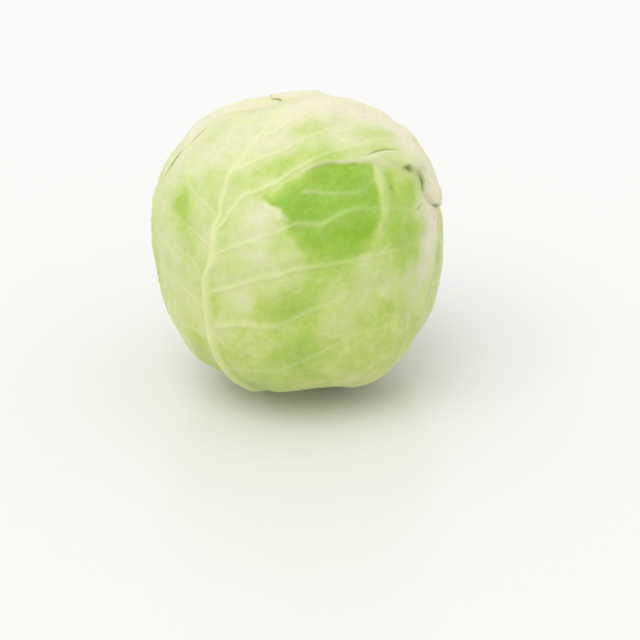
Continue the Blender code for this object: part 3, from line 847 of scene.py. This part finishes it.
class CABBAGE_OT_heart(bpy.types.Operator):
    """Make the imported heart, with the low steps where its leaves lap"""

    bl_idname = "cabbage.heart"
    bl_label = "Heart"

    def execute(self, context):
        shape = bmesh.new()
        bmesh.ops.create_uvsphere(shape, u_segments=128, v_segments=80, radius=1.0)
        way = np.array([v.co.normalized()[:] for v in shape.verts])
        azimuth = np.arctan2(way[:, 0], -way[:, 1])
        latitude = np.arcsin(np.clip(way[:, 2], -1, 1))
        lap = (1.5 * azimuth / np.pi + 1.1 * latitude) % 1.0
        sunk = 0.0012 * lap * smooth_step((np.cos(latitude) - 0.05) / 0.3)
        floor = STALK_HEIGHT + 0.0003 - CENTRE.z
        for vertex, line, distance in zip(shape.verts, way, heart_reach(way) - sunk):
            place = Vector(line * distance)
            if Vector(place[:2]).length < STALK_RADIUS + 0.010 and place.z < 0.0:
                place.z = max(place.z, floor)
            vertex.co = place + CENTRE
        mesh = bpy.data.meshes.new("packed_heart")
        shape.to_mesh(mesh)
        shape.free()
        link_object("packed_heart", mesh, packed_heart_material(context.scene.cabbage_stalk_colours),
                    "heart")
        return {"FINISHED"}


class CABBAGE_OT_stalk(bpy.types.Operator):
    """Make the trimmed stalk, with leaf scars on its side and a slightly hollowed cut face"""

    bl_idname = "cabbage.stalk"
    bl_label = "Stalk"

    def execute(self, context):
        shape = bmesh.new()
        bmesh.ops.create_cone(shape, cap_ends=True, segments=96, radius1=STALK_RADIUS,
                              radius2=STALK_RADIUS * 0.84, depth=STALK_HEIGHT)
        bmesh.ops.translate(shape, verts=shape.verts, vec=(0.0, 0.0, STALK_HEIGHT / 2))
        foot = [f for f in shape.faces if f.normal.z < -0.9]
        bmesh.ops.inset_region(shape, faces=foot, thickness=0.0010)
        rim = [v for v in shape.verts if v.co.z < 1e-6 and Vector(v.co[:2]).length > STALK_RADIUS - 0.0004]
        bmesh.ops.translate(shape, verts=rim, vec=(0.0, 0.0, 0.0009))
        upright = [e for e in shape.edges if abs(e.verts[0].co.z - e.verts[1].co.z) > 0.005]
        bmesh.ops.subdivide_edges(shape, edges=upright, cuts=18, use_grid_fill=True)
        for vertex in shape.verts:
            if vertex.co.z > 0.0012:
                ripple = noise.noise(Vector((vertex.co.x * 90.0, vertex.co.y * 90.0, vertex.co.z * 260.0)))
                vertex.co.xy *= 1.0 + 0.035 * ripple * min(1.0, vertex.co.z / 0.004)
        mesh = bpy.data.meshes.new("cut_stalk")
        shape.to_mesh(mesh)
        shape.free()
        link_object("cut_stalk", mesh, cut_stalk_material(context.scene.cabbage_stalk_colours), "stalk")
        return {"FINISHED"}


class CABBAGE_OT_stage(bpy.types.Operator):
    """Make the pale floor, the soft studio light and the camera"""

    bl_idname = "cabbage.stage"
    bl_label = "Stage"

    # Where the head's middle falls in the 640 pixel picture.
    HEAD_PIXEL = (297, 233)
    PICTURE = 640
    KEY_FROM = (-0.30, -0.45, 0.84)

    def execute(self, context):
        stage = context.scene.cabbage_stage
        shape = bmesh.new()
        bmesh.ops.create_grid(shape, x_segments=2, y_segments=2, size=6.0)
        mesh = bpy.data.meshes.new("studio_floor")
        shape.to_mesh(mesh)
        shape.free()
        material, tree = blank_material("white_studio_board")
        place = add_node(tree, "ShaderNodeTexCoord").outputs["Object"]
        grain = add_node(tree, "ShaderNodeTexNoise", {"Vector": place, "Scale": 300.0}).outputs["Fac"]
        low = add_node(tree, "ShaderNodeMath", {0: grain, 1: 0.00002}, operation="MULTIPLY").outputs[0]
        finish_surface(tree, stage.floor, 0.28, low, 0.3)
        mesh.materials.append(material)
        floor = bpy.data.objects.new("studio_floor", mesh)
        context.scene.collection.objects.link(floor)

        forward = Vector((0.0, np.cos(stage.elevation), -np.sin(stage.elevation)))
        right = Vector((1.0, 0.0, 0.0))
        up = right.cross(forward)
        over = (self.PICTURE / 2 - self.HEAD_PIXEL[0]) * stage.pixel
        down = (self.PICTURE / 2 - self.HEAD_PIXEL[1]) * stage.pixel
        data = bpy.data.cameras.new("camera")
        data.sensor_width = 36.0
        data.lens = data.sensor_width * stage.distance / (stage.pixel * self.PICTURE)
        data.clip_start = 0.01
        camera = bpy.data.objects.new("camera", data)
        camera.location = CENTRE - forward * stage.distance + right * over - up * down
        camera.rotation_euler = (np.pi / 2 - stage.elevation, 0.0, 0.0)
        context.scene.collection.objects.link(camera)
        context.scene.camera = camera

        light = bpy.data.lights.new("key", "SUN")
        light.energy = stage.key_strength
        light.angle = stage.key_spread
        lamp = bpy.data.objects.new("key", light)
        lamp.rotation_euler = (-Vector(self.KEY_FROM)).to_track_quat("-Z", "Y").to_euler()
        context.scene.collection.objects.link(lamp)
        world = bpy.data.worlds.new("studio")
        world.use_nodes = True
        world.node_tree.nodes["Background"].inputs["Strength"].default_value = stage.fill
        world.node_tree.nodes["Background"].inputs["Color"].default_value = (1.0, 1.0, 1.0, 1.0)
        context.scene.world = world
        context.scene.view_settings.view_transform = "Standard"
        return {"FINISHED"}


class CABBAGE_PT_panel(bpy.types.Panel):
    """Lists the steps that make the cabbage head"""

    bl_idname = "CABBAGE_PT_panel"
    bl_label = "Cabbage Head"
    bl_space_type = "VIEW_3D"
    bl_region_type = "UI"
    bl_category = "Cabbage"

    def draw(self, context):
        for step in STEPS:
            self.layout.operator(step.bl_idname)
        for group in GROUPS:
            settings = getattr(context.scene, group)
            box = self.layout.box()
            for name in settings.__annotations__:
                box.prop(settings, name)


STEPS = (CABBAGE_OT_leaves, CABBAGE_OT_heart, CABBAGE_OT_stalk, CABBAGE_OT_stage)
GROUPS = {
    "cabbage_relief": LeafRelief,
    "cabbage_leaf_colours": LeafColours,
    "cabbage_stalk_colours": StalkColours,
    "cabbage_stage": StageSettings,
}


def register():
    for kind in (*GROUPS.values(), *STEPS, CABBAGE_PT_panel):
        bpy.utils.register_class(kind)
    for name, kind in GROUPS.items():
        setattr(bpy.types.Scene, name, bpy.props.PointerProperty(type=kind))


def unregister():
    for name in GROUPS:
        delattr(bpy.types.Scene, name)
    for kind in (CABBAGE_PT_panel, *reversed(STEPS), *reversed(tuple(GROUPS.values()))):
        bpy.utils.unregister_class(kind)


def main():
    register()
    for step in STEPS:
        group, name = step.bl_idname.split(".")
        getattr(getattr(bpy.ops, group), name)()


if __name__ == "__main__":
    main()
